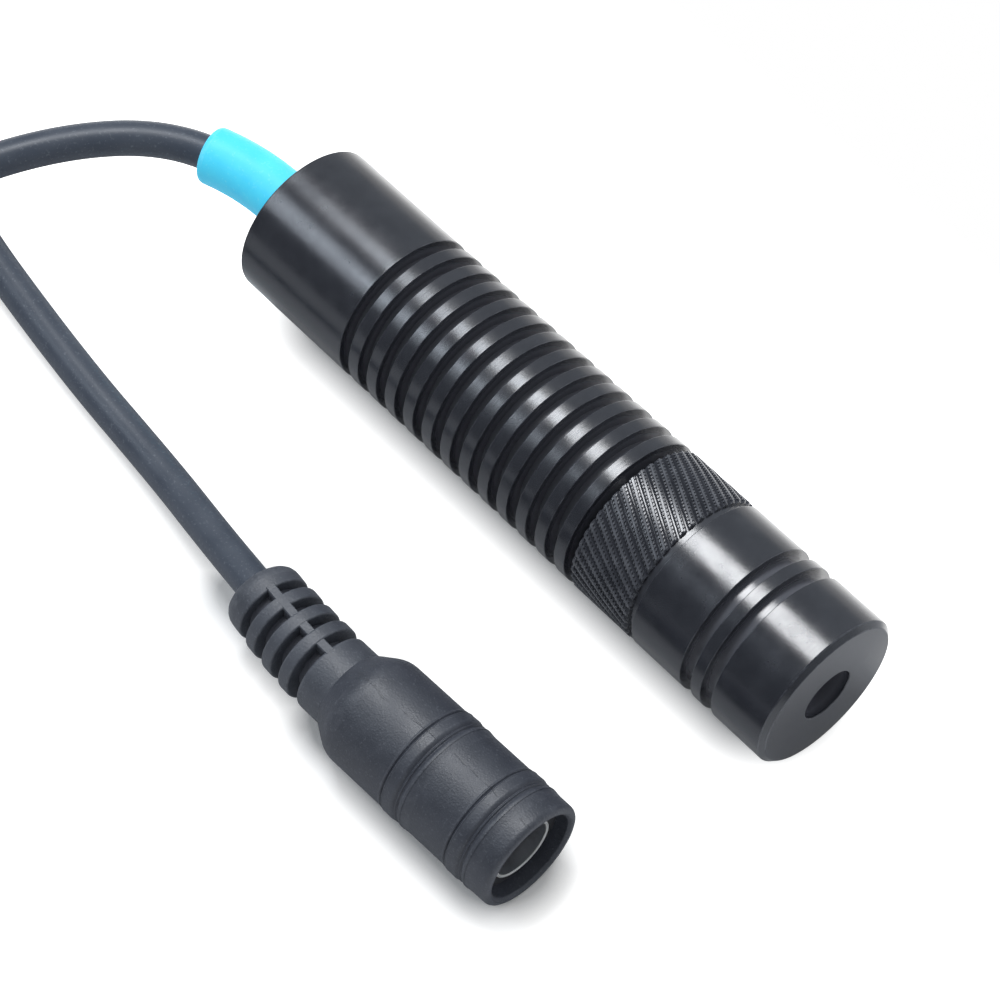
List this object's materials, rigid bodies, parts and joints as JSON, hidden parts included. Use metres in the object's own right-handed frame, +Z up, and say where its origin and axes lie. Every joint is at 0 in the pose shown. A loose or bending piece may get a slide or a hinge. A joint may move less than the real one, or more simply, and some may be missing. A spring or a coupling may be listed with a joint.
{
  "type": "laser diode module",
  "caption": "Cylindrical laser diode module with cooling grooves, a knurled turning focus head, a bare aperture and a short lead that ends in a moulded DC socket.",
  "frame": {"origin": "centre of the aperture at the front face", "axes": "+X along the beam, out of the aperture; +Z up; the module lies on a surface at z = -8 mm with the socket on the -Y side"},
  "size_m": [0.1393, 0.065, 0.016],
  "materials": {
    "anodised_black": "satin black anodised, fine turning lines",
    "lens_brass": "turned",
    "optical_glass": "polished, coated",
    "spring_steel": "drawn wire and stamped washer",
    "holder_copper": "turned copper alloy",
    "can_gold": "gold plated",
    "can_steel": "nickel plated",
    "board_green": "solder mask",
    "chip_black": "moulded epoxy",
    "ceramic_tan": "fired ceramic",
    "resistor_grey": "glazed",
    "trimmer_blue": "moulded",
    "wire_red": "insulation",
    "wire_black": "insulation",
    "plug_black": "turned",
    "sleeve_turquoise": "smooth tube",
    "cable_black": "soft jacket",
    "jack_black": "moulded, fine grain",
    "insulator_black": "moulded",
    "contact_nickel": "nickel plated",
    "tag_tin": "tinned"
  },
  "bodies": {
    "barrel": {"barrel": "anodised_black", "diode_holder": "holder_copper", "diode_header": "can_gold", "diode_leads": "can_gold", "diode_cap": "can_steel", "diode_window": "optical_glass", "diode_jumpers": "wire_red", "driver_board": "board_green", "driver_chip": "chip_black", "storage_capacitor": "ceramic_tan", "board_resistors": "resistor_grey", "current_trimmer": "trimmer_blue", "supply_wire_red": "wire_red", "supply_wire_black": "wire_black", "rear_plug": "plug_black", "cable_sleeve": "sleeve_turquoise", "cable": "cable_black", "jack_shell": "jack_black", "jack_insulator": "insulator_black", "jack_contact_sleeve": "contact_nickel", "jack_centre_pin": "contact_nickel", "jack_solder_tags": "tag_tin", "jack_wires": "wire_red"},
    "spring_pack": {"thrust_washer": "spring_steel", "focus_spring": "spring_steel"},
    "head": {"focus_head": "anodised_black", "lens_cell": "lens_brass", "collimating_lens": "optical_glass", "lens_retaining_ring": "lens_brass"}
  },
  "joints": [
    {"name": "focus_travel", "type": "slide", "parent": "barrel", "child": "spring_pack", "axis": [1, 0, 0], "range_m": [-0.00075, 0.00075]},
    {"name": "focus_turn", "type": "hinge", "parent": "spring_pack", "child": "head", "pos_m": [0, 0, 0], "axis": [1, 0, 0], "range_deg": [-540, 540]}
  ],
  "couplings": [
    {"joint": "focus_travel", "follows": "focus_turn", "m_per_rad": 0.000079577}
  ]
}
